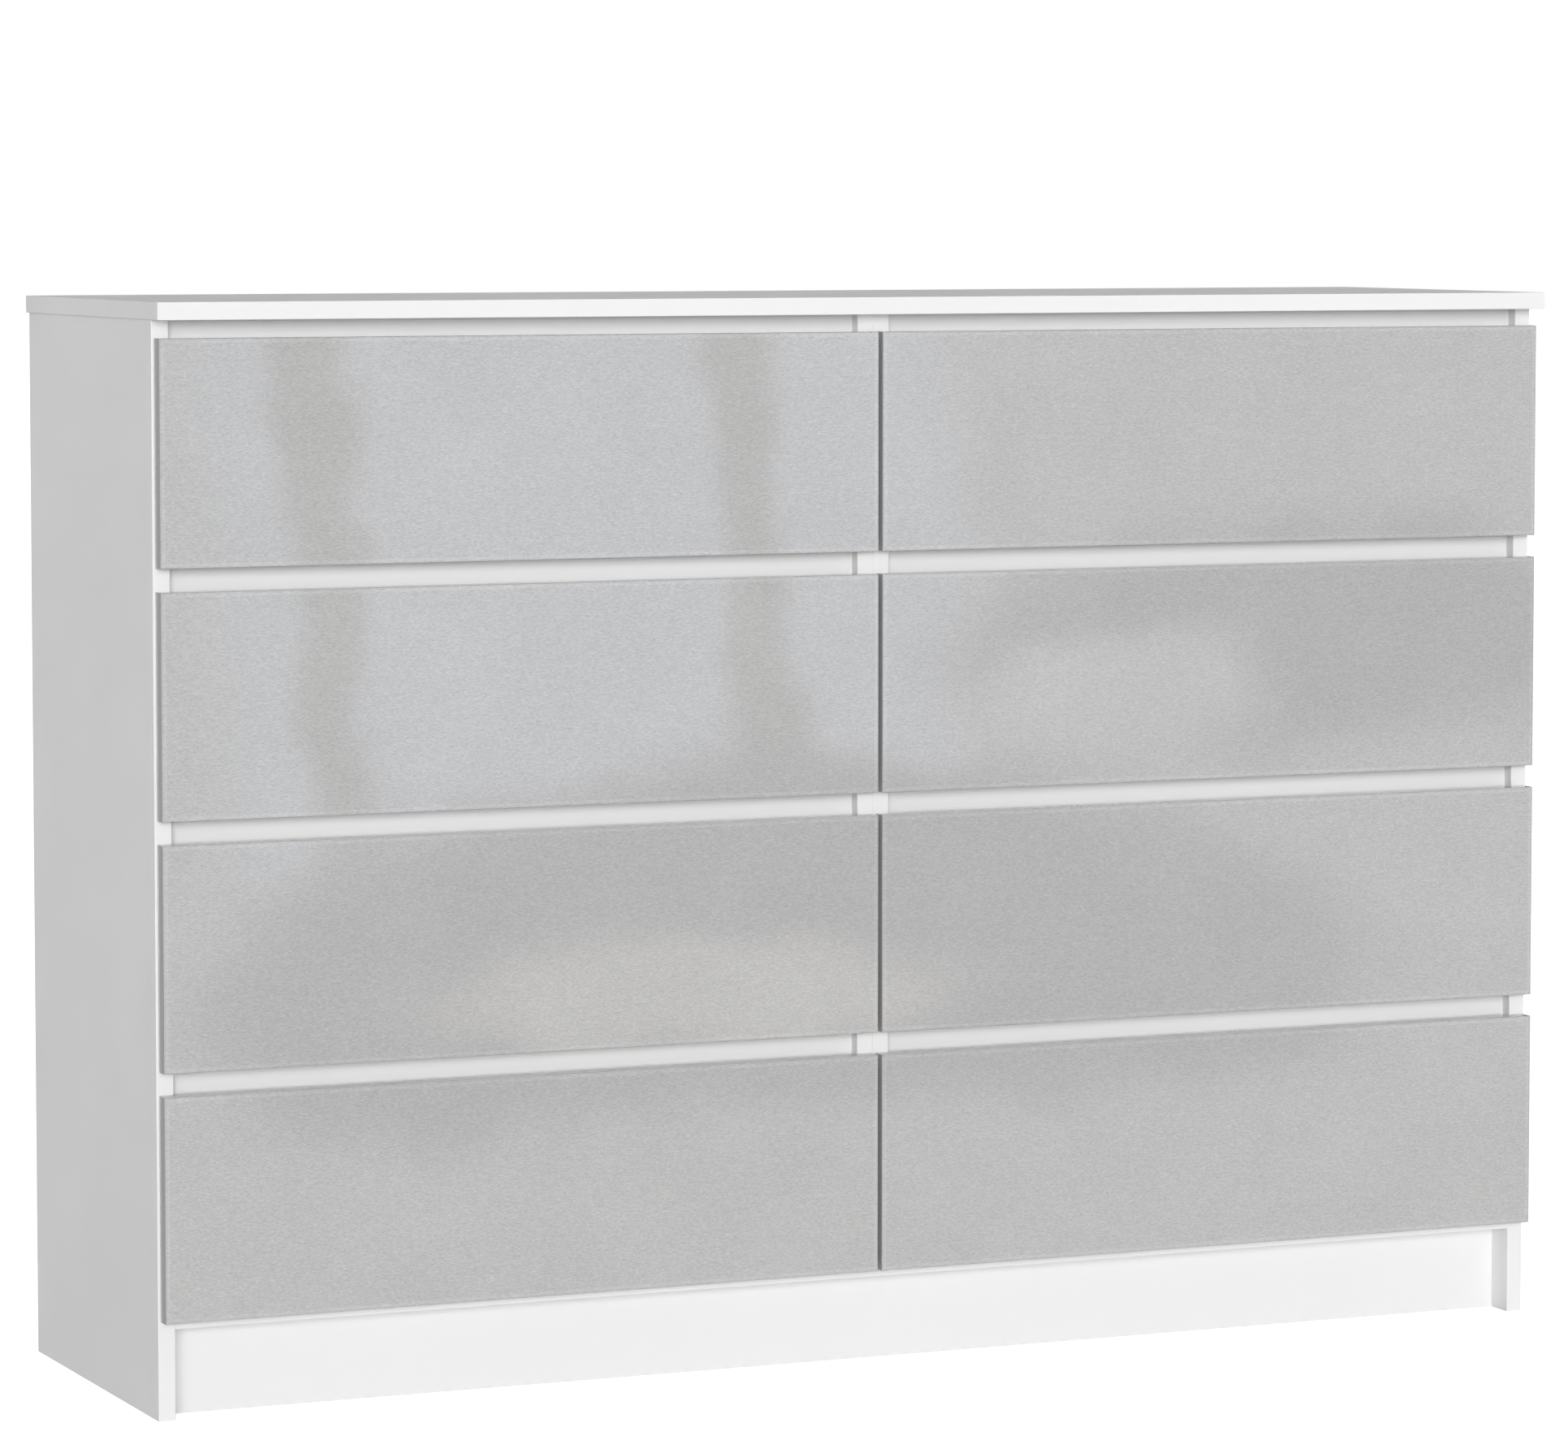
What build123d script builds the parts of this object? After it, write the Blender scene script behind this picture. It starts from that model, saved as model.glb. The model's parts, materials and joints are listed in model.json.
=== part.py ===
"""Eight-drawer dresser: a flat-pack carcass of 16 mm boards with two columns of four drawers.

Frame: +Z up, the fronts face -Y, X runs along the width. The origin is on the floor, under the
centre of the top board. Lengths are in millimetres. Every board, runner and fastener group is
written to its own file, and the two columns mirror each other about X = 0.
"""
from build123d import *
import os

# ---- Driving dimensions -------------------------------------------------------------------
WIDTH = 1400.0                  # top board, end to end
DEPTH = 400.0                   # top board, front to back
HEIGHT = 997.0                  # floor to the upper face of the top board
BOARD = 16.0                    # thickness of every structural board
THIN_BOARD = 3.0                # hardboard of the backs and the drawer bottoms
EDGE_RADIUS = 0.8               # rounding of the edge bands

TOP_OVERHANG_SIDE = 2.0
TOP_OVERHANG_FRONT = 25.0
PLINTH_HEIGHT = 82.0            # floor to the underside of the bottom board
PLINTH_SETBACK = 30.0
RAIL_SETBACK = 13.0
RAIL_HEIGHT = 50.0

ROWS = 4
FRONT_HEIGHT = 203.0
FRONT_PITCH = 224.0             # from one row of fronts to the next
FRONT_FIRST_Z = 90.0            # lower edge of the lowest fronts
FRONT_GAP_CENTRE = 4.0          # between the two columns of fronts
FRONT_GAP_CARCASS = 1.0         # room for the bumpers behind each front
FRONT_INSET_SIDE = 2.0          # from the outer face of a side board to the front's end

DRAWER_BOARD = 12.0             # box sides and box back
BOX_FLOOR_OFFSET = 26.0         # front's lower edge to the box's lower edge
BOX_HEIGHT = 136.0
BOX_LENGTH = 350.0
GROOVE_LIFT = 10.0              # box's lower edge to the groove for the bottom panel
GROOVE_DEPTH = 6.0
GROOVE_PLAY = 0.2

BACK_MARGIN = 1.0               # back panel's edge to the side board's outer face
BACK_CENTRE_GAP = 1.0           # between the two back panels
BACK_LIFT = 2.0                 # bottom board's underside to the back panels' lower edge

# ---- Roller runners -----------------------------------------------------------------------
RUNNER_SPACE = 12.5             # between a carcass board and the drawer box
RUNNER_LENGTH = 350.0
SHEET = 1.2                     # steel sheet of the profiles
CHANNEL_REACH = 10.0            # how far the carcass profile's lips reach inwards
ROLLER_RADIUS = 10.0
ROLLER_WIDTH = 7.5
ROLLER_PLAY = 0.3               # between a roller and the profile that it rolls along
LEDGE_RISE = 15.0               # box's lower edge to the top of the drawer profile's ledge
LEDGE_START = 2.9               # from the carcass board to the ledge's free edge
FOOT_REACH = 9.0                # how far the drawer profile reaches under the box side
LIP_PLAY = 0.5
FRONT_ROLLER_FROM_END = 12.0    # carcass profile's front end to its roller
REAR_ROLLER_FROM_END = 8.0      # drawer profile's rear end to its roller
RUNNER_SETBACK = 2.0            # each profile behind the plane where it begins
DRAWER_RUNNER_LENGTH = 346.0
LIP_START = 3.0                 # front roller to the start of the channel's lips
AXLE_RADIUS = 2.5
ROLLER_SIDE_PLAY = 0.8          # between a roller and the web that holds its axle
AXLE_LENGTH = 8.4               # just past its roller, and clear of the screw heads that it passes
SCREW_FIRST = 28.0              # from the carcass profile's front end
SCREW_STEP = 96.0
SCREW_COUNT = 3
SCREW_RADIUS = 1.75
SCREW_LENGTH = 12.0
SCREW_HEAD_RADIUS = 3.4
SCREW_HEAD_HEIGHT = 1.6

# ---- Knock-down fittings ------------------------------------------------------------------
CAM_RADIUS = 7.5
CAM_DEPTH = 12.5
CAM_DISTANCE = 34.0             # joint face to the centre of the cam
BOLT_THREAD_RADIUS = 2.5
BOLT_THREAD_LENGTH = 11.0
BOLT_SHAFT_RADIUS = 3.0
BOLT_HEAD_RADIUS = 3.6
BOLT_HEAD_LENGTH = 3.0
BOLT_HOLE_RADIUS = 4.0
BOLT_END_PLAY = 0.5             # past the bolt's head, in the cam's pocket
CAM_SLOT = (9.0, 1.6, 1.5)      # length, width and depth of the cross on a cam
CUT_MARGIN = 1.0                # how far a cutting tool starts outside what it cuts
TOP_FITTING_FRONT = 60.0        # carcass front plane to the first fittings of the wide boards
TOP_FITTING_BACK = 50.0         # carcass back plane to the last ones
DOWEL_SHIFT = 32.0              # from a fitting of a wide board to the dowel beside it
RAIL_BOLT_DROP = 15.0           # rail's upper edge to its bolts
RAIL_DOWEL_RISE = 12.0          # rail's lower edge to its dowels
PLINTH_FITTING_MARGIN = 25.0    # plinth's long edges to its bolt and its dowel
DOWEL_RADIUS = 4.0
DOWEL_LENGTH = 30.0
DOWEL_IN_FACE = 11.0            # part of a dowel that sits in the face of the other board
NAIL_RADIUS = 0.8
NAIL_LENGTH = 18.0
NAIL_HEAD_RADIUS = 2.4
NAIL_HEAD_HEIGHT = 0.5
NAIL_STEP = 140.0
NAIL_TOP_MARGIN = 40.0          # top board's underside to the highest nails

# ---- Derived places -----------------------------------------------------------------------
TOP_FRONT_Y = -DEPTH / 2
CARCASS_FRONT_Y = TOP_FRONT_Y + TOP_OVERHANG_FRONT
CARCASS_BACK_Y = DEPTH / 2 - THIN_BOARD
SIDE_OUTER_X = WIDTH / 2 - TOP_OVERHANG_SIDE
SIDE_INNER_X = SIDE_OUTER_X - BOARD
SIDE_TOP_Z = HEIGHT - BOARD
FLOOR_TOP_Z = PLINTH_HEIGHT + BOARD
RAIL_FRONT_Y = CARCASS_FRONT_Y + RAIL_SETBACK
FRONT_BACK_Y = CARCASS_FRONT_Y - FRONT_GAP_CARCASS
FRONT_FACE_Y = FRONT_BACK_Y - BOARD
FRONT_OUTER_X = SIDE_OUTER_X - FRONT_INSET_SIDE
FRONT_INNER_X = FRONT_GAP_CENTRE / 2
BOX_INNER_X = BOARD + RUNNER_SPACE
BOX_OUTER_X = SIDE_INNER_X - RUNNER_SPACE
BOX_BACK_Y = FRONT_BACK_Y + BOX_LENGTH
TOP_FITTINGS_Y = (CARCASS_FRONT_Y + TOP_FITTING_FRONT, CARCASS_BACK_Y - TOP_FITTING_BACK)
TOP_DOWELS_Y = (TOP_FITTINGS_Y[0] + DOWEL_SHIFT, TOP_FITTINGS_Y[1] - DOWEL_SHIFT)


# ---- Helpers ------------------------------------------------------------------------------
def block(x, y, z):
    """A box between the low and high value of each axis."""
    size = (x[1] - x[0], y[1] - y[0], z[1] - z[0])
    centre = ((x[0] + x[1]) / 2, (y[0] + y[1]) / 2, (z[0] + z[1]) / 2)
    return Pos(*centre) * Box(*size)


def across(side, near_x, far_x):
    """The X range between two distances from the middle, on side -1 or side 1."""
    return sorted((side * near_x, side * far_x))


def rounded(board, *axes):
    """Round the edges of a board that run along the axes."""
    return fillet([edge for axis in axes for edge in board.edges().filter_by(axis)], EDGE_RADIUS)


def rod(start, direction, radius, length):
    """A cylinder that begins at start and runs along a unit direction."""
    centre = Vector(*start) + Vector(*direction) * (length / 2)
    return Plane(origin=centre, z_dir=direction) * Cylinder(radius, length)


def write(name, solids):
    """One file for one named piece, or for one group of like pieces."""
    shape = Compound(children=solids) if isinstance(solids, list) else solids
    shape.label = name
    export_step(shape, f"parts/{name}.step")


def row_z(row):
    """Lower edge of the fronts of a row; row 1 is the highest."""
    return FRONT_FIRST_Z + (ROWS - row) * FRONT_PITCH


# ---- Joints of the boards -----------------------------------------------------------------
class Joint:
    """A cam lock with its bolt: place on the joint face, direction into the cam's board, cam axis."""

    def __init__(self, place, inward, cam_face, cam_out):
        self.place = Vector(*place)
        self.inward = Vector(*inward)
        self.cam_face = cam_face
        self.cam_out = Vector(*cam_out)

    def cam_start(self):
        centre = self.place + self.inward * CAM_DISTANCE
        return centre + self.cam_out * self.cam_face

    def cam_hole(self):
        return rod(self.cam_start(), -self.cam_out, CAM_RADIUS, CAM_DEPTH)

    def shaft_hole(self):
        return rod(self.place, self.inward, BOLT_HOLE_RADIUS, CAM_DISTANCE)

    def thread_hole(self):
        return rod(self.place, -self.inward, BOLT_THREAD_RADIUS, BOLT_THREAD_LENGTH)

    def bolt(self):
        thread = rod(self.place, -self.inward, BOLT_THREAD_RADIUS, BOLT_THREAD_LENGTH)
        shaft = rod(self.place, self.inward, BOLT_SHAFT_RADIUS, CAM_DISTANCE - BOLT_HEAD_LENGTH)
        head_start = self.place + self.inward * (CAM_DISTANCE - BOLT_HEAD_LENGTH)
        return thread + shaft + rod(head_start, self.inward, BOLT_HEAD_RADIUS, BOLT_HEAD_LENGTH)

    def cam(self):
        """A drum with the pocket for the bolt's head and a cross slot on its face."""
        drum = self.cam_hole()
        reach = CAM_RADIUS + CUT_MARGIN
        pocket_start = self.place + self.inward * (CAM_DISTANCE - reach)
        pocket = rod(pocket_start, self.inward, BOLT_HOLE_RADIUS, reach + BOLT_END_PLAY)
        face = Plane(origin=self.cam_start(), x_dir=self.inward, z_dir=self.cam_out)
        length, width, depth = CAM_SLOT
        cross = face * (Box(length, width, 2 * depth) + Box(width, length, 2 * depth))
        return drum - pocket - cross


def dowel(place, inward):
    """A dowel across a joint face; its hole has the same shape."""
    start = Vector(*place) - Vector(*inward) * DOWEL_IN_FACE
    return rod(start, inward, DOWEL_RADIUS, DOWEL_LENGTH)


def top_joints(side):
    """Cams in one side board and one partition, bolts up into the top board."""
    out = []
    for y in TOP_FITTINGS_Y:
        outer = (side * (SIDE_INNER_X + BOARD / 2), y, SIDE_TOP_Z)
        inner = (side * BOARD / 2, y, SIDE_TOP_Z)
        out.append(Joint(outer, (0, 0, -1), BOARD / 2, (-side, 0, 0)))
        out.append(Joint(inner, (0, 0, -1), BOARD / 2, (side, 0, 0)))
    return out


def partition_foot_joints(side):
    """Cams low in one partition, bolts down into the bottom board."""
    return [Joint((side * BOARD / 2, y, FLOOR_TOP_Z), (0, 0, 1), BOARD / 2, (side, 0, 0))
            for y in TOP_FITTINGS_Y]


def floor_joints(side):
    """Cams under the bottom board, bolts out into one side board."""
    z = PLINTH_HEIGHT + BOARD / 2
    return [Joint((side * SIDE_INNER_X, y, z), (-side, 0, 0), BOARD / 2, (0, 0, -1))
            for y in TOP_FITTINGS_Y]


def rail_joints(side, row):
    """Cams in the back of one rail, bolts into the side board and into the partition."""
    y = RAIL_FRONT_Y + BOARD / 2
    z = rail_low_z(row) + RAIL_HEIGHT - RAIL_BOLT_DROP
    return [Joint((side * SIDE_INNER_X, y, z), (-side, 0, 0), BOARD / 2, (0, 1, 0)),
            Joint((side * BOARD, y, z), (side, 0, 0), BOARD / 2, (0, 1, 0))]


def rail_dowels(side, row):
    y = RAIL_FRONT_Y + BOARD / 2
    z = rail_low_z(row) + RAIL_DOWEL_RISE
    return [dowel((side * SIDE_INNER_X, y, z), (-side, 0, 0)),
            dowel((side * BOARD, y, z), (side, 0, 0))]


def plinth_joints(side, plinth_y):
    y = plinth_y + BOARD / 2
    z = PLINTH_HEIGHT - PLINTH_FITTING_MARGIN
    inward = 1 if plinth_y < 0 else -1
    return [Joint((side * SIDE_INNER_X, y, z), (-side, 0, 0), BOARD / 2, (0, inward, 0))]


def plinth_dowels(side, plinth_y):
    place = (side * SIDE_INNER_X, plinth_y + BOARD / 2, PLINTH_FITTING_MARGIN)
    return [dowel(place, (-side, 0, 0))]


def top_dowels(side):
    out = []
    for y in TOP_DOWELS_Y:
        out.append(dowel((side * (SIDE_INNER_X + BOARD / 2), y, SIDE_TOP_Z), (0, 0, -1)))
        out.append(dowel((side * BOARD / 2, y, SIDE_TOP_Z), (0, 0, -1)))
    return out


def floor_dowels(side):
    z = PLINTH_HEIGHT + BOARD / 2
    return [dowel((side * SIDE_INNER_X, y, z), (-side, 0, 0)) for y in TOP_DOWELS_Y]


# ---- Carcass boards -----------------------------------------------------------------------
PLINTH_FRONT_Y = CARCASS_FRONT_Y + PLINTH_SETBACK
PLINTH_REAR_Y = CARCASS_BACK_Y - BOARD


def rail_low_z(row):
    """Lower edge of the rail over a row of fronts."""
    if row == 1:
        return SIDE_TOP_Z - RAIL_HEIGHT
    gap_centre = row_z(row) + (FRONT_HEIGHT + FRONT_PITCH) / 2
    return gap_centre - RAIL_HEIGHT / 2


def every_joint(side):
    joints = top_joints(side) + partition_foot_joints(side) + floor_joints(side)
    joints += plinth_joints(side, PLINTH_FRONT_Y) + plinth_joints(side, PLINTH_REAR_Y)
    for row in range(1, ROWS + 1):
        joints += rail_joints(side, row)
    return joints


def every_dowel(side):
    dowels = top_dowels(side) + floor_dowels(side)
    dowels += plinth_dowels(side, PLINTH_FRONT_Y) + plinth_dowels(side, PLINTH_REAR_Y)
    for row in range(1, ROWS + 1):
        dowels += rail_dowels(side, row)
    return dowels


def fitting_holes():
    """Every hole that the joints need, to be cut from whichever boards they cross."""
    holes = []
    for side in (-1, 1):
        for joint in every_joint(side):
            holes += [joint.cam_hole(), joint.shaft_hole(), joint.thread_hole()]
        holes += every_dowel(side)
        holes += runner_screw_holes(side)
    return holes


def boxes_meet(first, second):
    """Whether two bounding boxes share some room."""
    lows = [max(pair) for pair in zip(tuple(first.min), tuple(second.min))]
    highs = [min(pair) for pair in zip(tuple(first.max), tuple(second.max))]
    return all(low < high for low, high in zip(lows, highs))


def drilled(board, holes):
    """A board less the holes that meet it."""
    box = board.bounding_box()
    for hole in holes:
        if boxes_meet(box, hole.bounding_box()):
            board = board - hole
    return board


def top_panel():
    board = block((-WIDTH / 2, WIDTH / 2), (-DEPTH / 2, DEPTH / 2), (SIDE_TOP_Z, HEIGHT))
    return rounded(board, Axis.X, Axis.Y)


def side_panel(side):
    x = across(side, SIDE_INNER_X, SIDE_OUTER_X)
    board = block(x, (CARCASS_FRONT_Y, CARCASS_BACK_Y), (0, SIDE_TOP_Z))
    return rounded(board, Axis.Z)


def partition(side):
    y = (CARCASS_FRONT_Y, CARCASS_BACK_Y)
    board = block(across(side, 0, BOARD), y, (FLOOR_TOP_Z, SIDE_TOP_Z))
    return rounded(board, Axis.Z)


def bottom_panel():
    y = (CARCASS_FRONT_Y, CARCASS_BACK_Y)
    board = block((-SIDE_INNER_X, SIDE_INNER_X), y, (PLINTH_HEIGHT, FLOOR_TOP_Z))
    return rounded(board, Axis.X)


def plinth(y):
    return block((-SIDE_INNER_X, SIDE_INNER_X), (y, y + BOARD), (0, PLINTH_HEIGHT))


def centre_support():
    return block((-BOARD / 2, BOARD / 2), (PLINTH_FRONT_Y + BOARD, PLINTH_REAR_Y), (0, PLINTH_HEIGHT))


def cross_rail(side, row):
    x = across(side, BOARD, SIDE_INNER_X)
    z = rail_low_z(row)
    board = block(x, (RAIL_FRONT_Y, RAIL_FRONT_Y + BOARD), (z, z + RAIL_HEIGHT))
    return rounded(board, Axis.X)


def back_panel(side):
    """Hardboard nailed over the rear edges, from the bottom board up to the top board."""
    x = across(side, BACK_CENTRE_GAP / 2, SIDE_OUTER_X - BACK_MARGIN)
    y = (CARCASS_BACK_Y, CARCASS_BACK_Y + THIN_BOARD)
    return block(x, y, (PLINTH_HEIGHT + BACK_LIFT, SIDE_TOP_Z))


# ---- Nails of the back panels -------------------------------------------------------------
def nail_places(side):
    """Points on the outside of one back panel, over the boards behind it."""
    low, high = PLINTH_HEIGHT + BOARD / 2, SIDE_TOP_Z - NAIL_TOP_MARGIN
    steps = round((high - low) / NAIL_STEP)
    rising = [low + (high - low) * i / steps for i in range(1, steps + 1)]
    places = [(side * x, z) for x in (BOARD / 2, SIDE_OUTER_X - BOARD / 2) for z in rising]
    span = SIDE_INNER_X - BOARD
    steps = round(span / NAIL_STEP)
    places += [(side * (BOARD + span * (i + 0.5) / steps), low) for i in range(steps)]
    return places


def nails(side):
    back_y = CARCASS_BACK_Y + THIN_BOARD
    out = []
    for x, z in nail_places(side):
        shank = rod((x, back_y - NAIL_HEAD_HEIGHT, z), (0, -1, 0), NAIL_RADIUS, NAIL_LENGTH)
        head = rod((x, back_y, z), (0, -1, 0), NAIL_HEAD_RADIUS, NAIL_HEAD_HEIGHT)
        out.append(shank + head)
    return out


# ---- Runners ------------------------------------------------------------------------------
# Heights are counted from the box's lower edge, and u from the carcass board towards the box.
ROLLER_CENTRE_RISE = LEDGE_RISE - SHEET - ROLLER_PLAY - ROLLER_RADIUS
CHANNEL_FLOOR = ROLLER_CENTRE_RISE - ROLLER_RADIUS - ROLLER_PLAY
CHANNEL_TOP = LEDGE_RISE + LIP_PLAY
CARCASS_RUNNER_Y = CARCASS_FRONT_Y + RUNNER_SETBACK
DRAWER_RUNNER_Y = FRONT_BACK_Y + RUNNER_SETBACK
FRONT_ROLLER_Y = CARCASS_RUNNER_Y + FRONT_ROLLER_FROM_END
REAR_ROLLER_Y = DRAWER_RUNNER_Y + DRAWER_RUNNER_LENGTH - REAR_ROLLER_FROM_END


def box_low_z(row):
    return row_z(row) + BOX_FLOOR_OFFSET


class Rail:
    """One of the four runner places of a row: a carcass face, and the way from it to the box."""

    def __init__(self, side, outer, row):
        self.wall = side * (SIDE_INNER_X if outer else BOARD)
        self.way = -side if outer else side
        self.z = box_low_z(row)

    def bar(self, u, y, z):
        x = sorted(self.wall + self.way * value for value in u)
        return block(x, y, (self.z + z[0], self.z + z[1]))

    def axle_rod(self, u, y, radius):
        start = (self.wall + self.way * u[0], y, self.z + ROLLER_CENTRE_RISE)
        return rod(start, (self.way, 0, 0), radius, u[1] - u[0])

    def carcass_profile(self):
        """A channel that is open towards the box, with lips that begin behind the front roller."""
        y = (CARCASS_RUNNER_Y, CARCASS_RUNNER_Y + RUNNER_LENGTH)
        web = self.bar((0, SHEET), y, (CHANNEL_FLOOR - SHEET, CHANNEL_TOP + SHEET))
        lips_y = (FRONT_ROLLER_Y + ROLLER_RADIUS + LIP_START, y[1])
        floor = self.bar((0, CHANNEL_REACH), lips_y, (CHANNEL_FLOOR - SHEET, CHANNEL_FLOOR))
        lip = self.bar((0, CHANNEL_REACH), lips_y, (CHANNEL_TOP, CHANNEL_TOP + SHEET))
        axle = self.axle_rod((SHEET, SHEET + AXLE_LENGTH), FRONT_ROLLER_Y, AXLE_RADIUS)
        return web + floor + lip + axle

    def front_roller(self):
        low = SHEET + ROLLER_SIDE_PLAY
        u = (low, low + ROLLER_WIDTH)
        wheel = self.axle_rod(u, FRONT_ROLLER_Y, ROLLER_RADIUS)
        return wheel - self.axle_rod(u, FRONT_ROLLER_Y, AXLE_RADIUS)

    def drawer_profile(self):
        """A foot under the box side, a web against it and a ledge out over the front roller."""
        y = (DRAWER_RUNNER_Y, DRAWER_RUNNER_Y + DRAWER_RUNNER_LENGTH)
        web_u = (RUNNER_SPACE - SHEET, RUNNER_SPACE)
        foot = self.bar((web_u[0], RUNNER_SPACE + FOOT_REACH), y, (-SHEET, 0))
        web = self.bar(web_u, y, (-SHEET, LEDGE_RISE))
        ledge = self.bar((LEDGE_START, RUNNER_SPACE), y, (LEDGE_RISE - SHEET, LEDGE_RISE))
        axle = self.axle_rod((web_u[0] - AXLE_LENGTH, web_u[0]), REAR_ROLLER_Y, AXLE_RADIUS)
        return foot + web + ledge + axle

    def rear_roller(self):
        high = RUNNER_SPACE - SHEET - ROLLER_SIDE_PLAY
        u = (high - ROLLER_WIDTH, high)
        wheel = self.axle_rod(u, REAR_ROLLER_Y, ROLLER_RADIUS - ROLLER_PLAY)
        return wheel - self.axle_rod(u, REAR_ROLLER_Y, AXLE_RADIUS)

    def screw_places(self):
        z = self.z + ROLLER_CENTRE_RISE
        first = CARCASS_RUNNER_Y + SCREW_FIRST
        return [(self.wall, first + SCREW_STEP * i, z) for i in range(SCREW_COUNT)]

    def screws(self):
        out = []
        for x, y, z in self.screw_places():
            shank = rod((x + self.way * SHEET, y, z), (-self.way, 0, 0), SCREW_RADIUS, SCREW_LENGTH)
            head = rod((x + self.way * SHEET, y, z), (self.way, 0, 0), SCREW_HEAD_RADIUS, SCREW_HEAD_HEIGHT)
            out.append(shank + head)
        return out

    def screw_holes(self):
        return [rod((x + self.way * SHEET, y, z), (-self.way, 0, 0), SCREW_RADIUS, SCREW_LENGTH)
                for x, y, z in self.screw_places()]


def rails_of(side):
    return [Rail(side, outer, row) for row in range(1, ROWS + 1) for outer in (False, True)]


def runner_screw_holes(side):
    return [hole for rail in rails_of(side) for hole in rail.screw_holes()]


# ---- Drawers ------------------------------------------------------------------------------
def groove_z(row):
    low = box_low_z(row) + GROOVE_LIFT
    return (low, low + THIN_BOARD + GROOVE_PLAY)


def drawer_front(side, row):
    z = row_z(row)
    x = across(side, FRONT_INNER_X, FRONT_OUTER_X)
    board = block(x, (FRONT_FACE_Y, FRONT_BACK_Y), (z, z + FRONT_HEIGHT))
    board = rounded(board, Axis.X, Axis.Z)
    groove_x = across(side, BOX_INNER_X + GROOVE_DEPTH, BOX_OUTER_X - GROOVE_DEPTH)
    return board - block(groove_x, (FRONT_BACK_Y - GROOVE_DEPTH, FRONT_BACK_Y), groove_z(row))


def drawer_side(side, outer, row):
    """A side of the box, with a groove along its inner face for the bottom panel."""
    z = box_low_z(row)
    y = (FRONT_BACK_Y, BOX_BACK_Y)
    outside, way = (BOX_OUTER_X, -1) if outer else (BOX_INNER_X, 1)
    inside = outside + way * DRAWER_BOARD
    board = rounded(block(across(side, outside, inside), y, (z, z + BOX_HEIGHT)), Axis.Y)
    return board - block(across(side, inside - way * GROOVE_DEPTH, inside), y, groove_z(row))


def drawer_back(side, row):
    x = across(side, BOX_INNER_X + DRAWER_BOARD, BOX_OUTER_X - DRAWER_BOARD)
    y = (BOX_BACK_Y - DRAWER_BOARD, BOX_BACK_Y)
    board = block(x, y, (groove_z(row)[1], box_low_z(row) + BOX_HEIGHT))
    return rounded(board, Axis.X)


def drawer_bottom(side, row):
    reach = DRAWER_BOARD - GROOVE_DEPTH + GROOVE_PLAY
    x = across(side, BOX_INNER_X + reach, BOX_OUTER_X - reach)
    z = groove_z(row)[0] + GROOVE_PLAY / 2
    y = (FRONT_BACK_Y - GROOVE_DEPTH + GROOVE_PLAY, BOX_BACK_Y)
    return block(x, y, (z, z + THIN_BOARD))


def write_drawer(name, side, row):
    places = [Rail(side, outer, row) for outer in (False, True)]
    write(f"{name}_front", drawer_front(side, row))
    write(f"{name}_sides", [drawer_side(side, outer, row) for outer in (False, True)])
    write(f"{name}_back", drawer_back(side, row))
    write(f"{name}_bottom", drawer_bottom(side, row))
    runners = [place.drawer_profile() for place in places] + [place.rear_roller() for place in places]
    write(f"{name}_runners", runners)


def main():
    os.makedirs("parts", exist_ok=True)
    holes = fitting_holes()
    nail_solids = nails(-1) + nails(1)
    write("top_panel", drilled(top_panel(), holes))
    write("bottom_panel", drilled(bottom_panel(), holes + nail_solids))
    write("front_plinth", drilled(plinth(PLINTH_FRONT_Y), holes))
    write("rear_plinth", drilled(plinth(PLINTH_REAR_Y), holes))
    write("centre_support", centre_support())
    rails = []
    for name, side in (("left", -1), ("right", 1)):
        write(f"{name}_side_panel", drilled(side_panel(side), holes + nail_solids))
        write(f"{name}_partition", drilled(partition(side), holes + nail_solids))
        write(f"{name}_back_panel", drilled(back_panel(side), nail_solids))
        rails += [drilled(cross_rail(side, row), holes) for row in range(1, ROWS + 1)]
        for row in range(1, ROWS + 1):
            write_drawer(f"{name}_drawer_{row}", side, row)
    write("cross_rails", rails)
    places = rails_of(-1) + rails_of(1)
    write("cabinet_runners", [drilled(place.carcass_profile(), place.screw_holes()) for place in places])
    write("cabinet_rollers", [place.front_roller() for place in places])
    write("runner_screws", [screw for place in places for screw in place.screws()])
    joints = every_joint(-1) + every_joint(1)
    write("cam_locks", [joint.cam() for joint in joints])
    write("cam_bolts", [joint.bolt() for joint in joints])
    write("dowels", every_dowel(-1) + every_dowel(1))
    write("back_panel_nails", nail_solids)


main()
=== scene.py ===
"""Looks of the eight-drawer dresser: materials, small fittings, studio light and camera.

Everything is in metres in the row frame: +Z up, the drawer fronts face -Y, the floor is Z = 0.
"""

import json
import math

import bmesh
import bpy
from mathutils import Matrix, Vector

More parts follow.
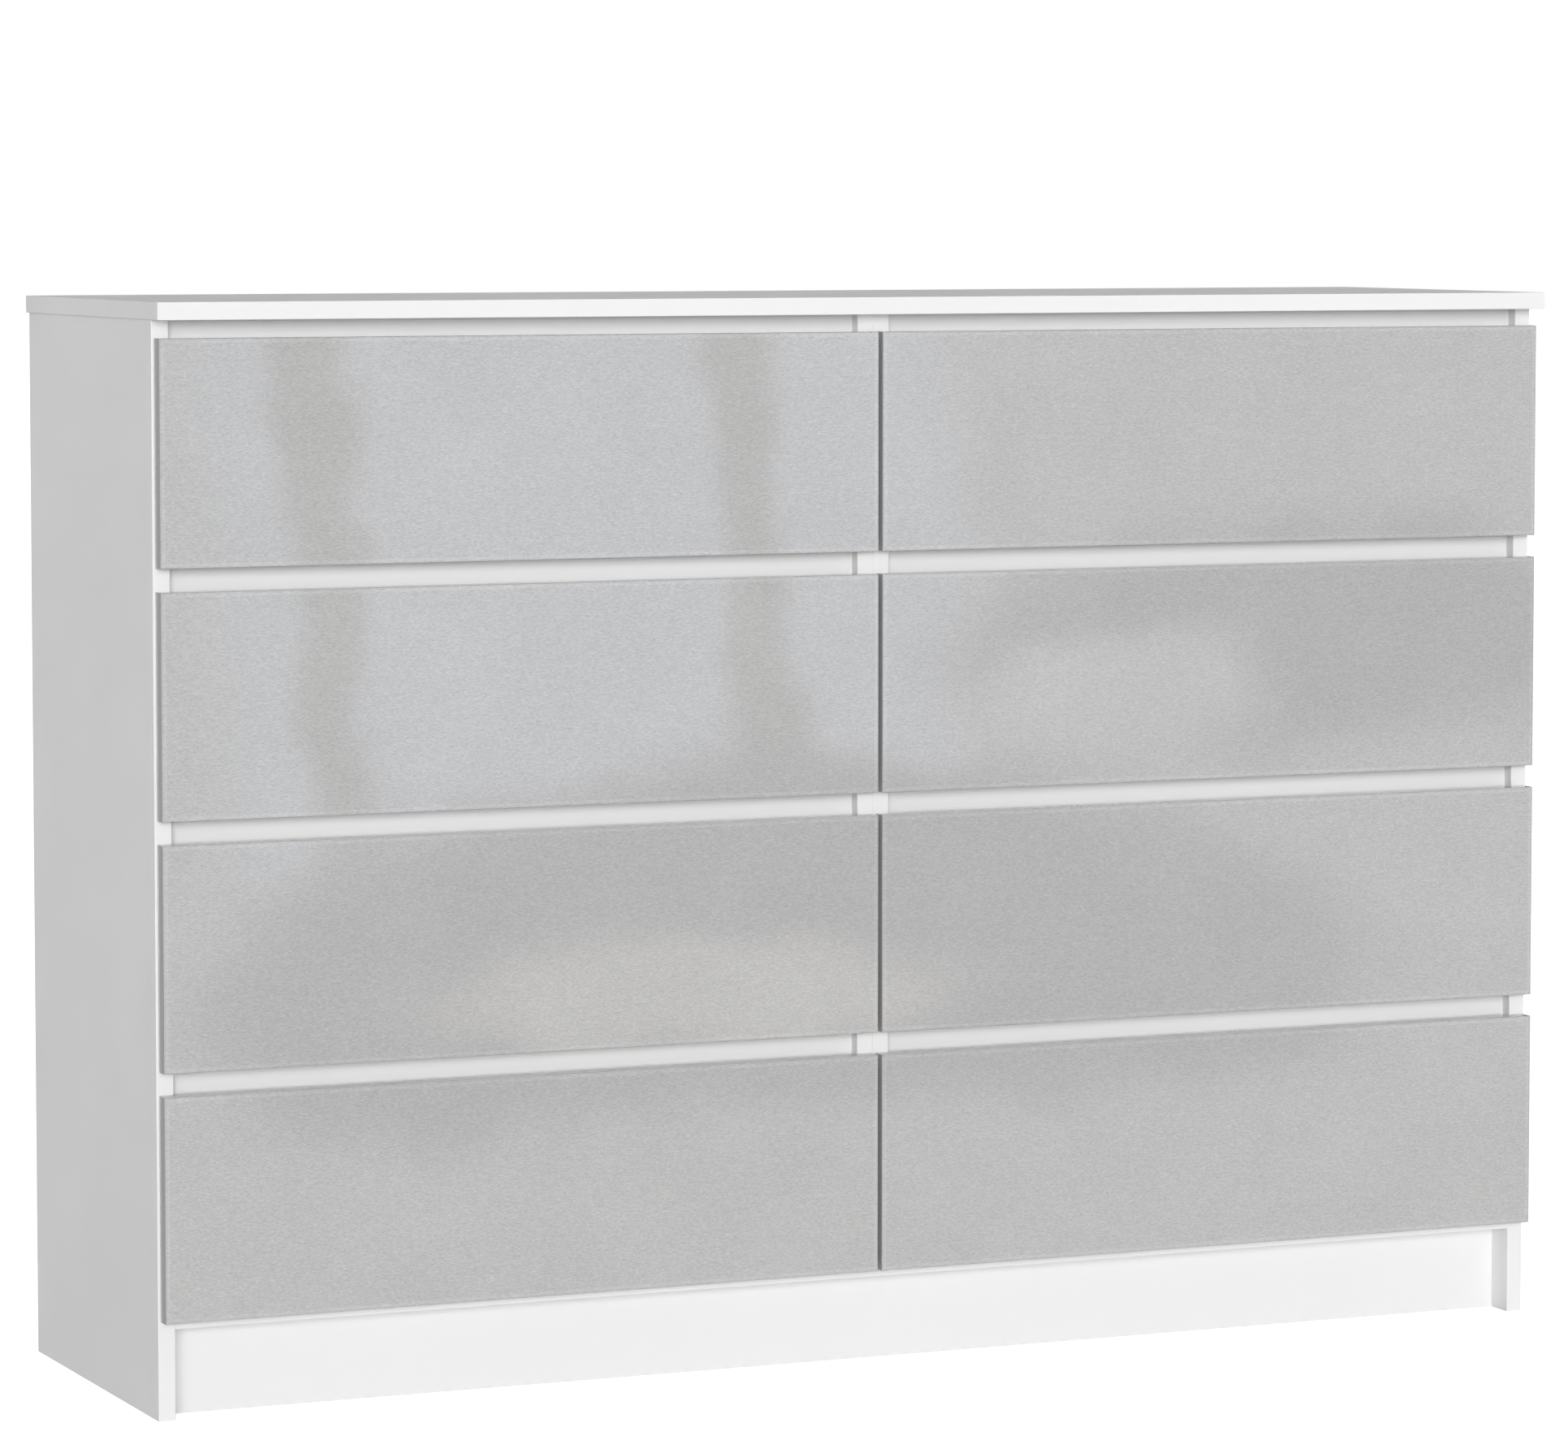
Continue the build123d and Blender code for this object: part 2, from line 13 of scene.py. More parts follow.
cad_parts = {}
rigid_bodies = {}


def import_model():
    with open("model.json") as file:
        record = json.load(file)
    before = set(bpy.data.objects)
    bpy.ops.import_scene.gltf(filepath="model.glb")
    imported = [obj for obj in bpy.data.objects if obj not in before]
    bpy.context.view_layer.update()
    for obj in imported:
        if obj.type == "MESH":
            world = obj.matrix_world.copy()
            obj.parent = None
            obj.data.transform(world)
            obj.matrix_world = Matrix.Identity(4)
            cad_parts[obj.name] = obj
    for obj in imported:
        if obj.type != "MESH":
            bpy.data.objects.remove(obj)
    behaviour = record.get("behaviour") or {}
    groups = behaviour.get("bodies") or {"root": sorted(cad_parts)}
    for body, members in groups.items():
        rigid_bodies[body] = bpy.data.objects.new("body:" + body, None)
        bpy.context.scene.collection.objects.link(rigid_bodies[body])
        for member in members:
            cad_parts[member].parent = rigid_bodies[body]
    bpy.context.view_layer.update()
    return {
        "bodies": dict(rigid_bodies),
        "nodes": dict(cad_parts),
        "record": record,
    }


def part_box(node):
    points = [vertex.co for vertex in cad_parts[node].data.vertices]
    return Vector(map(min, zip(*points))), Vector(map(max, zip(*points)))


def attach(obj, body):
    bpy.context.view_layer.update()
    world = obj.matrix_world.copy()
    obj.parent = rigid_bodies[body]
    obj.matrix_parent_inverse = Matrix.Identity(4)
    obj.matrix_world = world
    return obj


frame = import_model()

MM = 0.001
NODES = frame["nodes"]
SLOT_OF = {part["node"]: part["material_slot"] for part in frame["record"]["subparts"]}
DRAWERS = [name for name in frame["bodies"] if name != "carcass"]


# ---- Node trees ---------------------------------------------------------------------------
NOISE_SPAN = (0.2, 0.8)         # most of a noise's values lie between these


class Graph:
    """A node tree with short calls for the nodes that the materials share."""

    def __init__(self, tree):
        tree.nodes.clear()
        self.tree = tree

    def node(self, kind, values=(), **settings):
        """A new node. Values go to its sockets: another node's output is linked, anything else is set."""
        made = self.tree.nodes.new(kind)
        for name, value in settings.items():
            setattr(made, name, value)
        for socket, value in dict(values).items():
            if isinstance(value, bpy.types.NodeSocket):
                self.tree.links.new(value, made.inputs[socket])
            elif made.inputs[socket].type == "RGBA":
                made.inputs[socket].default_value = (*value, 1)
            else:
                made.inputs[socket].default_value = value
        return made

    def math(self, operation, *values):
        return self.node("ShaderNodeMath", enumerate(values), operation=operation).outputs[0]

    def vector(self, operation, *values):
        return self.node("ShaderNodeVectorMath", enumerate(values), operation=operation).outputs[0]

    def split(self, vector):
        """A vector's X, Y and Z."""
        return self.node("ShaderNodeSeparateXYZ", {0: vector}).outputs

    def place(self, scale=(1, 1, 1)):
        """Row frame coordinates of the point, stretched by a scale."""
        where = self.node("ShaderNodeTexCoord").outputs["Object"]
        return self.vector("MULTIPLY", where, scale)

    def normal(self):
        """The surface normal's X, Y and Z in the row frame, which stay the same as a drawer moves."""
        return self.split(self.node("ShaderNodeTexCoord").outputs["Normal"])

    def noise(self, where, cells, detail=2, roughness=0.5, output="Fac"):
        """Noise with so many cells for each unit of its coordinates, which is a metre on the object."""
        values = {"Vector": where, "Scale": cells, "Detail": detail, "Roughness": roughness}
        return self.node("ShaderNodeTexNoise", values).outputs[output]

    def grain(self, cells, detail=2, roughness=0.5):
        """Noise with its own number of cells a metre along X, Y and Z. Fewer cells make longer marks."""
        return self.noise(self.place(cells), 1, detail, roughness)

    def remap(self, value, low, high, to_low=0.0, to_high=1.0):
        """A smooth step from one value to another, between low and high."""
        values = {"Value": value, "From Min": low, "From Max": high, "To Min": to_low, "To Max": to_high}
        return self.node("ShaderNodeMapRange", values, interpolation_type="SMOOTHSTEP").outputs[0]

    def between(self, noise, low, high):
        """A noise spread over the values from low to high, such as a roughness."""
        return self.remap(noise, *NOISE_SPAN, low, high)

    def mix(self, factor, first, second):
        """From the first colour at 0 to the second at 1. Sockets 6 and 7 are the node's colours."""
        values = {0: factor, 6: first, 7: second}
        return self.node("ShaderNodeMix", values, data_type="RGBA").outputs[2]

    def tinted(self, colour, *shades):
        """A colour multiplied by shades around 1. Socket 3 is the node's scale."""
        for shade in shades:
            colour = self.node("ShaderNodeVectorMath", {0: colour, 3: shade}, operation="SCALE").outputs[0]
        return colour

    def shade(self, noise, spread):
        """A noise of 0 to 1, turned into a shade from 1 - spread to 1 + spread."""
        return self.math("MULTIPLY_ADD", noise, 2 * spread, 1 - spread)

    def bump(self, height, distance):
        values = {"Height": height, "Distance": distance, "Strength": 1.0}
        return self.node("ShaderNodeBump", values).outputs[0]


def new_material(name):
    material = bpy.data.materials.new(name)
    material.use_nodes = True
    return material, Graph(material.node_tree)


def finish_material(graph, **sockets):
    """A principled surface with its sockets by name, underscores for spaces."""
    values = {name.replace("_", " "): value for name, value in sockets.items()}
    surface = graph.node("ShaderNodeBsdfPrincipled", values)
    graph.node("ShaderNodeOutputMaterial", {"Surface": surface.outputs[0]})


# ---- Materials ----------------------------------------------------------------------------
# Colours are red, green and blue, as shares of the light that comes back. Cells are counted a metre.
MELAMINE_WHITE = (0.83, 0.83, 0.828)
FOIL_WHITE = (0.80, 0.80, 0.79)
MELAMINE_GRAIN = 0.7 * MM
FOIL_GRAIN = 0.5 * MM


def white_melamine(name, colour, grain):
    """Satin melamine: a fine pearl texture, faint mottling and slightly uneven gloss."""
    material, g = new_material(name)
    where = g.place()
    pearl = g.noise(where, cells=1 / grain, detail=3)
    mottle = g.noise(where, cells=14, detail=3)
    cloud = g.noise(where, cells=2.2)
    finish_material(
        g,
        Base_Color=g.tinted(colour, g.shade(pearl, 0.012), g.shade(mottle, 0.012), g.shade(cloud, 0.02)),
        Roughness=g.between(mottle, 0.34, 0.46),
        Normal=g.bump(pearl, 0.02 * MM),
    )
    return material


LAMINATE_GREY = (0.452, 0.452, 0.452)
EDGE_BAND_GREY = (0.475, 0.467, 0.47)
LAMINATE_BACK = (0.72, 0.72, 0.71)
STROKE_CELLS = (370, 200, 1500)         # longer along X than along Z, the way that it is brushed
STROKE_DEPTH = 0.0002 * MM
SPECKLE_CELLS = (320, 320, 1150)
FACE_METALLIC = 0.5
FACE_SMOOTH = 0.14                      # the strokes' roughness is multiplied by these
EDGE_SMOOTH = 0.3
BACK_ROUGHNESS = 0.4
# The normal's Y is -1 on the front face and 1 on the back, and changes over the rounded edges.
FACE_ENDS = (-0.5, -0.2)
BACK_STARTS = (0.6, 0.9)
EDGE_HIGHLIGHT_STARTS = (1.2 * MM, 2.4 * MM)    # how far from the front's edge the painted highlight line comes in
EDGE_HIGHLIGHT_ENDS = (3.4 * MM, 4.8 * MM)      # and fades out
# The face is this much lighter on that line: a painted highlight, standing in for the light a bevel
# catches.
EDGE_HIGHLIGHT = 0.08


def edge_highlight_line(g):
    """1 on a narrow line just inside the edges of each drawer front, and 0 elsewhere: where a highlight is
    painted.

    The line is worked out for the right column's lowest front, and repeats upwards and on the left.
    """
    low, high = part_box("right_drawer_4_front")
    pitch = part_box("right_drawer_3_front")[0].z - low.z
    where = g.split(g.place())
    across = g.math("ABSOLUTE", where["X"])
    up = g.math("MODULO", g.math("SUBTRACT", where["Z"], low.z), pitch)
    to_sides = g.math("MINIMUM", g.math("SUBTRACT", across, low.x), g.math("SUBTRACT", high.x, across))
    to_ends = g.math("MINIMUM", up, g.math("SUBTRACT", high.z - low.z, up))
    inside = g.math("MINIMUM", to_sides, to_ends)
    return g.math("MULTIPLY", g.remap(inside, *EDGE_HIGHLIGHT_STARTS), g.remap(inside, *EDGE_HIGHLIGHT_ENDS, 1, 0))


def brushed_laminate(name):
    """Silver-grey gloss laminate on the drawer fronts, brushed along X, with plain bands on the edges."""
    material, g = new_material(name)
    strokes = g.grain(STROKE_CELLS)
    speckle = g.grain(SPECKLE_CELLS, detail=3)
    cloud = g.grain((3, 3, 5))
    facing_y = g.normal()["Y"]
    on_face = g.remap(facing_y, *FACE_ENDS, 1, 0)
    on_back = g.remap(facing_y, *BACK_STARTS)
    # Painted highlight: the face colour is made lighter on a line just inside each front's edges.
    edge_highlight_shade = g.math("MULTIPLY_ADD", edge_highlight_line(g), EDGE_HIGHLIGHT, 1)
    grain = (g.shade(strokes, 0.18), g.shade(speckle, 0.27), g.shade(cloud, 0.015))
    face = g.tinted(LAMINATE_GREY, *grain, edge_highlight_shade)
    band = g.tinted(EDGE_BAND_GREY, g.shade(strokes, 0.03))
    smooth = g.remap(on_face, 0, 1, EDGE_SMOOTH, FACE_SMOOTH)
    finish_material(
        g,
        Base_Color=g.mix(on_back, g.mix(on_face, band, face), LAMINATE_BACK),
        Metallic=g.math("MULTIPLY", on_face, FACE_METALLIC),
        Roughness=g.math(
            "MAXIMUM",
            g.math("MULTIPLY", g.between(strokes, 0.16, 0.22), smooth),
            g.math("MULTIPLY", on_back, BACK_ROUGHNESS),
        ),
        Normal=g.bump(strokes, STROKE_DEPTH),
    )
    return material


FIBRE_DARK = (0.235, 0.128, 0.066)
FIBRE_LIGHT = (0.34, 0.205, 0.115)
HARDBOARD_LACQUER = (0.76, 0.76, 0.74)
OUTSIDE_STARTS = (0.2, 0.8)     # the normal's Y where the raw side takes over


def hardboard(name):
    """Thin hardboard, lacquered white inside and raw brown on the face that points to the wall."""
    material, g = new_material(name)
    where = g.place()
    fibres = g.grain((380, 380, 260), detail=4, roughness=0.65)
    flecks = g.noise(where, cells=900)
    cloud = g.noise(where, cells=3, detail=3)
    raw = g.mix(g.remap(fibres, 0.35, 0.7), FIBRE_DARK, FIBRE_LIGHT)
    raw = g.tinted(raw, g.shade(flecks, 0.16), g.shade(cloud, 0.12))
    lacquer = g.tinted(HARDBOARD_LACQUER, g.shade(fibres, 0.02))
    outside = g.remap(g.normal()["Y"], *OUTSIDE_STARTS)
    finish_material(
        g,
        Base_Color=g.mix(outside, lacquer, raw),
        Roughness=g.between(fibres, 0.5, 0.72),
        Normal=g.bump(fibres, 0.05 * MM),
    )
    return material


BOTTOM_LACQUER = (0.77, 0.77, 0.75)


def lacquered_board(name):
    """White lacquered hardboard of the drawer bottoms, with its fibres showing faintly."""
    material, g = new_material(name)
    where = g.place()
    fibres = g.noise(where, cells=260, detail=3)
    mottle = g.noise(where, cells=9)
    finish_material(
        g,
        Base_Color=g.tinted(BOTTOM_LACQUER, g.shade(fibres, 0.025), g.shade(mottle, 0.02)),
        Roughness=g.between(fibres, 0.42, 0.55),
        Normal=g.bump(fibres, 0.03 * MM),
    )
    return material


COAT_CREAM = (0.75, 0.74, 0.70)
COAT_RUBBED = (0.5, 0.5, 0.49)
RUB_CELLS = (220, 14, 220)      # long along Y, the way that drawers slide
RUB_STRENGTH = 0.35


def powder_coat(name):
    """Cream-white powder coat with an orange-peel skin, rubbed in streaks as drawers slide."""
    material, g = new_material(name)
    peel = g.noise(g.place(), cells=700)
    rub = g.remap(g.grain(RUB_CELLS, detail=4), 0.58, 0.75, 0, RUB_STRENGTH)
    finish_material(
        g,
        Base_Color=g.mix(rub, g.tinted(COAT_CREAM, g.shade(peel, 0.02)), COAT_RUBBED),
        Roughness=g.between(peel, 0.3, 0.42),
        Normal=g.bump(peel, 0.03 * MM),
    )
    return material


NYLON_WHITE = (0.70, 0.69, 0.64)


def nylon(name):
    """Slightly waxy off-white plastic with fine turning marks round X, the rollers' axis."""
    material, g = new_material(name)
    marks = g.grain((3000, 300, 300))
    finish_material(
        g,
        Base_Color=g.tinted(NYLON_WHITE, g.shade(marks, 0.05)),
        Roughness=g.between(marks, 0.38, 0.52),
        Subsurface_Weight=0.15,
        Subsurface_Scale=2 * MM,
        Normal=g.bump(marks, 0.01 * MM),
    )
    return material


ZINC_PLATE = (0.62, 0.62, 0.60)
DIE_CAST_ZINC = (0.48, 0.48, 0.48)


def bare_metal(name, colour, smoothest, roughest):
    """Zinc-plated or die-cast metal: cloudy, with small scratches in its gloss."""
    material, g = new_material(name)
    cloud = g.noise(g.place(), cells=420, detail=4, roughness=0.6)
    scratches = g.grain((2600, 180, 900), detail=3)
    finish_material(
        g,
        Base_Color=g.tinted(colour, g.shade(cloud, 0.15), g.shade(scratches, 0.08)),
        Metallic=1.0,
        Roughness=g.between(cloud, smoothest, roughest),
        Normal=g.bump(scratches, 0.01 * MM),
    )
    return material


BEECH_DARK = (0.45, 0.29, 0.15)
BEECH_LIGHT = (0.63, 0.44, 0.26)


def raw_beech(name):
    """Short-fibred pale wood of the dowels, with fine rays."""
    material, g = new_material(name)
    grain = g.grain((260, 1400, 260), detail=4, roughness=0.6)
    rays = g.grain((900, 2200, 900))
    colour = g.mix(g.remap(grain, 0.3, 0.7), BEECH_DARK, BEECH_LIGHT)
    finish_material(
        g,
        Base_Color=g.tinted(colour, g.shade(rays, 0.12)),
        Roughness=g.between(grain, 0.55, 0.75),
        Normal=g.bump(grain, 0.04 * MM),
    )
    return material


SILICONE_CLEAR = (0.80, 0.82, 0.82)


def clear_silicone(name):
    """Soft clear plastic of the bumpers, a little cloudy inside."""
    material, g = new_material(name)
    haze = g.noise(g.place(), cells=1300)
    finish_material(
        g,
        Base_Color=g.tinted(SILICONE_CLEAR, g.shade(haze, 0.06)),
        Roughness=g.between(haze, 0.15, 0.28),
        Transmission_Weight=0.6,
        IOR=1.42,
        Normal=g.bump(haze, 0.01 * MM),
    )
    return material


def make_materials():
    """The material for each slot name of the record."""
    return {
        "white_board": white_melamine("white_melamine", MELAMINE_WHITE, MELAMINE_GRAIN),
        "drawer_board": white_melamine("white_foil", FOIL_WHITE, FOIL_GRAIN),
        "front_laminate": brushed_laminate("brushed_laminate"),
        "back_hardboard": hardboard("hardboard"),
        "drawer_bottom": lacquered_board("lacquered_hardboard"),
        "runner_steel": powder_coat("powder_coat"),
        "roller_nylon": nylon("nylon"),
        "zinc_steel": bare_metal("zinc_plated_steel", ZINC_PLATE, 0.28, 0.45),
        "cam_zinc": bare_metal("die_cast_zinc", DIE_CAST_ZINC, 0.35, 0.55),
        "beech_dowel": raw_beech("raw_beech"),
    }


def dress_nodes(materials):
    """Gives each CAD node the material that the record names for it, in a new slot if it has none."""
    for node, thing in NODES.items():
        if not thing.material_slots:
            thing.data.materials.append(None)
        for slot in thing.material_slots:
            slot.material = materials[SLOT_OF[node]]


# ---- Small fittings of the drawers --------------------------------------------------------
def add_mesh(name, make, material, body):
    """A new piece from a function that fills a bmesh with closed shapes, riding on a body."""
    shape = bmesh.new()
    make(shape)
    bmesh.ops.recalc_face_normals(shape, faces=shape.faces[:])
    mesh = bpy.data.meshes.new(name)
    shape.to_mesh(mesh)
    shape.free()
    mesh.materials.append(material)
    piece = bpy.data.objects.new(name, mesh)
    bpy.context.scene.collection.objects.link(piece)
    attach(piece, body)


TURN_STEPS = 24
QUARTER_TURN = math.pi / 2
SUNK = 0.3 * MM                 # how far each fitting's foot sits inside its board


def turned(shape, profile, place):
    """Skins a profile of (radius, height) points about an axis; returns the ring of its last point."""
    before = []
    for radius, height in profile:
        angles = [2 * math.pi * step / TURN_STEPS for step in range(TURN_STEPS if radius else 1)]
        ring = []
        for angle in angles:
            spot = Vector((radius * math.cos(angle), radius * math.sin(angle), height))
            ring.append(shape.verts.new(place @ spot))
        for step in range(TURN_STEPS if before else 0):
            after = step + 1
            corners = [before[step % len(before)], before[after % len(before)],
                       ring[after % len(ring)], ring[step % len(ring)]]
            shape.faces.new(dict.fromkeys(corners)).smooth = True
        before = ring
    return before


def facing(centre, axis):
    """A place at a centre, with its Z along an axis."""
    turn = Vector((0, 0, 1)).rotation_difference(Vector(axis)).to_matrix().to_4x4()
    return Matrix.Translation(centre) @ turn


def cross_outline(arm, half_width):
    """The twelve corners of a cross, from the three of each quarter."""
    quarter = ((arm, -half_width), (arm, half_width), (half_width, half_width))
    outline = []
    for turn in range(4):
        cos, sin = round(math.cos(turn * QUARTER_TURN)), round(math.sin(turn * QUARTER_TURN))
        outline += [(x * cos - y * sin, x * sin + y * cos) for x, y in quarter]
    return outline


def cross_head(shape, profile, recess, place):
    """A turned head whose last point is the edge of a flat face with a cross-shaped recess.

    The rim has two points for each corner of the cross.
    """
    arm, half_width, depth = recess
    rim = turned(shape, profile, place)
    height = profile[-1][1]
    outline = cross_outline(arm, half_width)
    edge = [shape.verts.new(place @ Vector((x, y, height))) for x, y in outline]
    floor = [shape.verts.new(place @ Vector((x, y, height - depth))) for x, y in outline]
    for i in range(len(edge)):
        after = (i + 1) % len(edge)
        near, far, beyond = [rim[(2 * i - 1 + step) % len(rim)] for step in range(3)]
        shape.faces.new((edge[i], near, far))
        shape.faces.new((edge[i], far, beyond, edge[after]))
        shape.faces.new((edge[i], edge[after], floor[after], floor[i]))
    shape.faces.new(floor)


BUMPER_RADIUS = 4 * MM
BUMPER_HEIGHT = 0.85 * MM
BUMPER_FROM_EDGE = 14 * MM
BUMPER_STEPS = 6


def bumper_profile():
    """A low dome with a flat pressed foot."""
    points = [(0, BUMPER_HEIGHT)]
    for step in range(1, BUMPER_STEPS):
        angle = step / BUMPER_STEPS * QUARTER_TURN
        points.append((BUMPER_RADIUS * math.sin(angle), BUMPER_HEIGHT * math.cos(angle)))
    return points + [(BUMPER_RADIUS, -SUNK), (0, -SUNK)]


def bumper_places(drawer):
    """Four points on the back of a drawer front, over the edges of the boards that it closes on."""
    low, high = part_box(drawer + "_front")
    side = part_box("right_side_panel")
    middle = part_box("right_partition")
    reach = ((side[0].x + side[1].x) / 2, (middle[0].x + middle[1].x) / 2)
    sign = 1 if low.x > 0 else -1
    heights = (low.z + BUMPER_FROM_EDGE, high.z - BUMPER_FROM_EDGE)
    return [facing((sign * x, high.y, z), (0, 1, 0)) for x in reach for z in heights]


def add_bumpers(drawer, material):
    """The clear pads behind a drawer front."""
    def make(shape):
        for place in bumper_places(drawer):
            turned(shape, bumper_profile(), place)
    add_mesh(drawer + "_bumpers", make, material, drawer)


BOX_CAM_RADIUS = 7.5 * MM
BOX_CAM_PROUD = 0.3 * MM
BOX_CAM_BEVEL = 0.4 * MM
BOX_CAM_FROM_FRONT = 24 * MM
BOX_CAM_FROM_EDGE = 32 * MM
# Each cross-shaped recess has the length of its arms, half their width, and its depth.
BOX_CAM_RECESS = (4.2 * MM, 0.8 * MM, 0.5 * MM)


def box_cam_places(drawer):
    """Two points near the front on the inner face of each box side."""
    low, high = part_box(drawer + "_back")
    side_low, side_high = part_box(drawer + "_sides")
    y = side_low.y + BOX_CAM_FROM_FRONT
    heights = (side_low.z + BOX_CAM_FROM_EDGE, side_high.z - BOX_CAM_FROM_EDGE)
    return [facing((x, y, z), (way, 0, 0)) for x, way in ((low.x, 1), (high.x, -1)) for z in heights]


def add_box_cams(drawer, material):
    """The locks that hold the front on the box, just proud of its sides, each with a cross slot."""
    profile = [
        (0, -SUNK),
        (BOX_CAM_RADIUS, -SUNK),
        (BOX_CAM_RADIUS, 0),
        (BOX_CAM_RADIUS - BOX_CAM_BEVEL, BOX_CAM_PROUD),
    ]

    def make(shape):
        for place in box_cam_places(drawer):
            cross_head(shape, profile, BOX_CAM_RECESS, place)
    add_mesh(drawer + "_box_cams", make, material, drawer)


BOX_SCREW_RADIUS = 3.5 * MM
BOX_SCREW_PROUD = 1.4 * MM
BOX_SCREW_RECESS = (1.8 * MM, 0.35 * MM, 0.9 * MM)
BOX_SCREW_RISES = (45 * MM, 105 * MM)
RUNNER_SHEET = 1.2 * MM
RUNNER_SCREW_RADIUS = 2.9 * MM
RUNNER_SCREW_PROUD = 0.35 * MM
RUNNER_SCREW_RECESS = (1.5 * MM, 0.3 * MM, 0.3 * MM)
RUNNER_SCREW_RISE = 6.5 * MM
RUNNER_SCREWS_FROM_FRONT = (37 * MM, 133 * MM, 261 * MM)
# The round of a screw head, from its rim to its flat middle, in shares of its radius and height.
PAN_ROUND = ((1, 0.3), (0.93, 0.7), (0.76, 0.93), (0.62, 1))


def pan_profile(radius, proud):
    """A rounded screw head up to the edge of its flat middle."""
    return [(0, -SUNK), (radius, -SUNK)] + [(wide * radius, high * proud) for wide, high in PAN_ROUND]


def add_box_screws(drawer, material):
    """Screws through the box sides into the back board, and through the runners into the sides."""
    side_low, side_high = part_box(drawer + "_sides")
    back_low, back_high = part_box(drawer + "_back")
    back_y = (back_low.y + back_high.y) / 2
    box_head = pan_profile(BOX_SCREW_RADIUS, BOX_SCREW_PROUD)
    runner_head = pan_profile(RUNNER_SCREW_RADIUS, RUNNER_SCREW_PROUD)

    def make(shape):
        for x, way in ((side_low.x, -1), (side_high.x, 1)):
            for rise in BOX_SCREW_RISES:
                spot = (x, back_y, side_low.z + rise)
                cross_head(shape, box_head, BOX_SCREW_RECESS, facing(spot, (way, 0, 0)))
            for back in RUNNER_SCREWS_FROM_FRONT:
                spot = (x + way * RUNNER_SHEET, side_low.y + back, side_low.z + RUNNER_SCREW_RISE)
                cross_head(shape, runner_head, RUNNER_SCREW_RECESS, facing(spot, (way, 0, 0)))
    add_mesh(drawer + "_box_screws", make, material, drawer)


# ---- Light, floor and camera --------------------------------------------------------------
WHITE = (1, 1, 1)
AMBIENT = 0.40
# Soft suns: strength, then in degrees the azimuth from straight in front towards the right, the
# elevation and the angular size.
KEY = (3.45, -18, 3.5, 36)
SIDE_LIGHT = (0.58, -100, 5, 20)
FILL = (1.9, 128, 6, 20)
TOP_LIGHT = (0.30, 90, 68, 40)
FLOOR_HALF = 60
FLOOR_GREY = (0.52, 0.52, 0.52)
FLOOR_GLOW = 0.02               # the lit floor's extra light on the object
FLOOR_SEEN_GLOW = 0.84          # what the camera sees of it, as white as the backdrop

# What the glossy drawer fronts mirror: a plain studio room with a barred window, a dark sofa, a dark
# armchair and a pale floor, painted one over another. Each soft shape has a kind, a centre, two half
# sizes, a lean in degrees, an edge softness and a brightness for red, green and blue. Places and sizes
# are metres on the far wall, across and up from the point straight ahead of the dresser.
ROOM_DEPTH = 5.0                # how far away the far wall is
ROOM_SHAPES = (
    ("panel", (2.00, -0.30), (0.35, 0.25), 5, 0.15, (1.10, 1.12, 1.16)),     # window
    ("panel", (1.75, -0.30), (0.03, 0.30), 5, 0.4, (0.88, 0.87, 0.85)),      # its bars
    ("panel", (2.15, -0.30), (0.03, 0.30), 5, 0.4, (0.88, 0.87, 0.85)),
    ("disc", (2.70, -0.40), (0.35, 0.10), 0, 0.3, (0.80, 0.79, 0.79)),       # sofa
    ("disc", (2.50, -0.45), (0.15, 0.05), 0, 0.4, (1.08, 1.06, 1.06)),       # its cushion
    ("disc", (2.20, -0.70), (0.55, 0.20), 0, 0.15, (0.82, 0.80, 0.81)),      # armchair
    ("disc", (2.10, -0.70), (0.25, 0.05), 0, 0.4, (1.06, 1.05, 1.01)),       # its seat
    ("panel", (2.20, -1.00), (1.50, 0.20), 0, 0.15, (1.00, 1.00, 0.99)),     # floor
)
ROOM_LEVEL = 1.18
ROOM_LEVEL_BEHIND = 0.15        # towards the wall behind the dresser, which its sides and back mirror
ROOM_BEHIND_FROM = 0.5          # a ray's Y from where on it is as dim as that
ROOM_LEAST_AHEAD = 0.05         # rays aside or behind count as pointing this much ahead
ROOM_WARP = 0.02                # how wavy the laminate makes the room look
ROOM_WARP_CELLS = 40
ROOM_MOTTLE = 0.10
ROOM_MOTTLE_CELLS = 60


def room_shape(g, spot, kind, centre, half, lean, softness):
    """How much one soft shape of the room covers the spot."""
    values = {
        "Vector": spot,
        "Location": (centre[0] / ROOM_DEPTH, centre[1] / ROOM_DEPTH, 0),
        "Rotation": (0, 0, math.radians(lean)),
        "Scale": (half[0] / ROOM_DEPTH, half[1] / ROOM_DEPTH, 1),
    }
    local = g.node("ShaderNodeMapping", values, vector_type="TEXTURE").outputs[0]
    if kind == "panel":
        along = g.split(g.vector("ABSOLUTE", local))
        reach = g.math("MAXIMUM", along["X"], along["Y"])
    else:
        reach = g.node("ShaderNodeVectorMath", {0: local}, operation="LENGTH").outputs["Value"]
    return g.remap(reach, 1 - softness, 1 + softness, 1, 0)


def room_spot(g, way):
    """Where a ray meets the far wall, across and up in wall distances, a little warped."""
    ahead = g.math("MAXIMUM", g.math("MULTIPLY", way["Y"], -1), ROOM_LEAST_AHEAD)
    across = g.math("DIVIDE", way["X"], ahead)
    up = g.math("DIVIDE", way["Z"], ahead)
    spot = g.node("ShaderNodeCombineXYZ", {0: across, 1: up}).outputs[0]
    ripple = g.noise(spot, ROOM_WARP_CELLS, output="Color")
    ripple = g.tinted(g.vector("SUBTRACT", ripple, (0.5, 0.5, 0.5)), ROOM_WARP)
    return g.vector("ADD", spot, g.vector("MULTIPLY", ripple, (1, 1, 0)))


